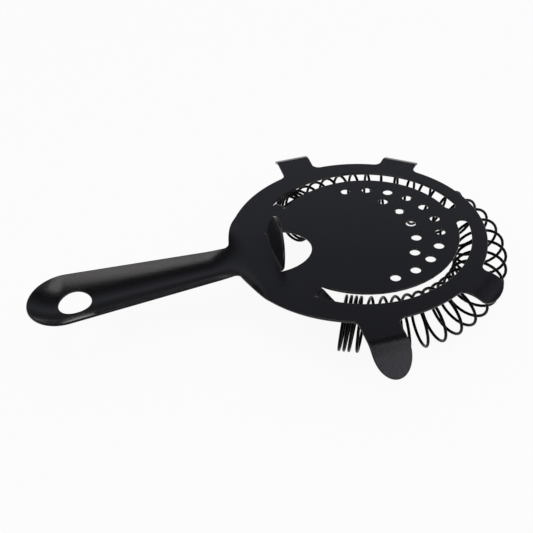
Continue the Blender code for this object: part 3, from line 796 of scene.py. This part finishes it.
# floor, light and camera
studio = {              # metres, degrees and watts
    "floorSize": 3.0, "floorColour": (0.90, 0.90, 0.90, 1.0), "floorGlow": 0.93,
    "skyFill": (0.45, 0.45, 0.45, 1.0),
    "skyStops": [           # sine of the height, colour shown to the camera, to gloss and through glass
        (0.00, (1.0, 1.0, 1.0)), (0.075, (1.0, 1.0, 1.0)), (0.12, (0.08, 0.08, 0.09)),
        (0.38, (0.08, 0.08, 0.09)), (0.48, (0.33, 0.34, 0.40)), (0.55, (0.33, 0.34, 0.40)),
        (0.61, (0.20, 0.21, 0.25)), (0.70, (0.17, 0.175, 0.21)), (0.76, (0.03, 0.03, 0.035)),
        (0.82, (0.01, 0.01, 0.01)),
    ],
    "lamps": [              # place, turn about Z, size, power, colour; both shine straight down
        ((-0.14, 0.035, 0.80), -32.0, (0.25, 0.50), 1.0, (1.0, 0.97, 0.95)),
        ((0.41, -0.45, 0.80), 0.0, (0.42, 1.20), 1.95, (1.0, 0.95, 1.05)),
    ],
}


def buildFloor(height):
    # flat square under the lowest turn of the spring
    half = studio["floorSize"] / 2
    corners = [(-half, -half, height), (half, -half, height), (half, half, height), (-half, half, height)]
    mesh = bpy.data.meshes.new("floor")
    mesh.from_pydata(corners, [], [(0, 1, 2, 3)])
    material, bench = newMaterial("floorWhite")
    matt = bench.node("ShaderNodeBsdfDiffuse", None, {"Color": studio["floorColour"]})
    glow = bench.node("ShaderNodeEmission", None, {"Strength": 1.0})
    share = bench.seen() * studio["floorGlow"]
    mixed = bench.node("ShaderNodeMixShader", None, {0: share, 1: matt, 2: glow})
    bench.node("ShaderNodeOutputMaterial", None, {"Surface": mixed})
    mesh.materials.append(material)
    floor = bpy.data.objects.new("floor", mesh)
    bpy.context.scene.collection.objects.link(floor)
    floor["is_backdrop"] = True


def buildSky():
    # white at the horizon, a pale ring at mid height and dark overhead; an even fill for everything else
    world = bpy.data.worlds.new("studioSky")
    world.use_nodes = True
    bpy.context.scene.world = world
    bench = Bench(world.node_tree)
    way = bench.node("ShaderNodeTexCoord", out="Generated")
    height = bench.node("ShaderNodeSeparateXYZ", None, {0: way}, "Z")
    shown = bench.node("ShaderNodeValToRGB", {"stops": studio["skyStops"]}, {"Fac": height}, "Color")
    colour = bench.blend(bench.seen(), studio["skyFill"], shown)
    sky = bench.node("ShaderNodeBackground", None, {"Color": colour})
    bench.node("ShaderNodeOutputWorld", None, {"Surface": sky})


def buildLamps():
    # soft boxes overhead
    for k, (place, turn, size, power, colour) in enumerate(studio["lamps"]):
        lamp = bpy.data.lights.new("softbox%d" % k, "AREA")
        lamp.shape = "RECTANGLE"
        lamp.size, lamp.size_y = size
        lamp.energy = power
        lamp.color = colour
        holder = bpy.data.objects.new(lamp.name, lamp)
        holder.location = place
        holder.rotation_euler = (0.0, 0.0, math.radians(turn))
        bpy.context.scene.collection.objects.link(holder)


shot = {            # degrees; focal length, frame and the plate's centre in pixels
    "azimuth": -19.231, "elevation": 37.449, "roll": 0.54, "distance": 314.55 * mm,
    "focal": 913.53, "frame": 533.0, "centre": (356.52, 234.06), "sensor": 36.0, "clipStart": 0.01,
}


def buildCamera():
    # looks along the fitted angle, then swings so that the plate's centre falls on its pixel
    az, el, roll = (math.radians(shot[k]) for k in ("azimuth", "elevation", "roll"))
    back = np.array([math.sin(az) * math.cos(el), -math.cos(az) * math.cos(el), math.sin(el)])
    right = np.cross(-back, [0.0, 0.0, 1.0])
    right /= np.linalg.norm(right)
    up = np.cross(right, -back)
    c, s = math.cos(roll), math.sin(roll)
    right, up = c * right + s * up, -s * right + c * up
    half, focal = shot["frame"] / 2, shot["focal"]
    ray = np.array([(shot["centre"][0] - half) / focal, (half - shot["centre"][1]) / focal, 1.0])
    ray /= np.linalg.norm(ray)
    a, b = math.atan2(ray[0], ray[2]), math.asin(ray[1])
    swing = np.array([[math.cos(a), 0, math.sin(a)], [0, 1, 0], [-math.sin(a), 0, math.cos(a)]])
    nod = np.array([[1, 0, 0], [0, math.cos(b), math.sin(b)], [0, -math.sin(b), math.cos(b)]])
    axes = swing @ nod @ np.array([right, up, -back])
    camera = bpy.data.cameras.new("shot")
    camera.sensor_width = shot["sensor"]
    camera.lens = focal / shot["frame"] * camera.sensor_width
    camera.clip_start = shot["clipStart"]
    holder = bpy.data.objects.new("shot", camera)
    matrix = np.eye(4)
    matrix[:3, 0], matrix[:3, 1], matrix[:3, 2] = axes[0], axes[1], -axes[2]
    matrix[:3, 3] = back * shot["distance"]
    holder.matrix_world = Matrix(matrix.tolist())
    bpy.context.scene.collection.objects.link(holder)
    bpy.context.scene.camera = holder


plate = buildPlate()
plate.data.materials.append(powderCoat())
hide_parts("plate")
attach(plate, "plate")

spring = buildSpring()
spring.data.materials.append(wireCoat())
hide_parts("spring")
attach(spring, "spring")

buildFloor(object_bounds()[0].z)
buildSky()
buildLamps()
buildCamera()
bpy.context.scene.view_settings.view_transform = "Standard"
print("studio ready")
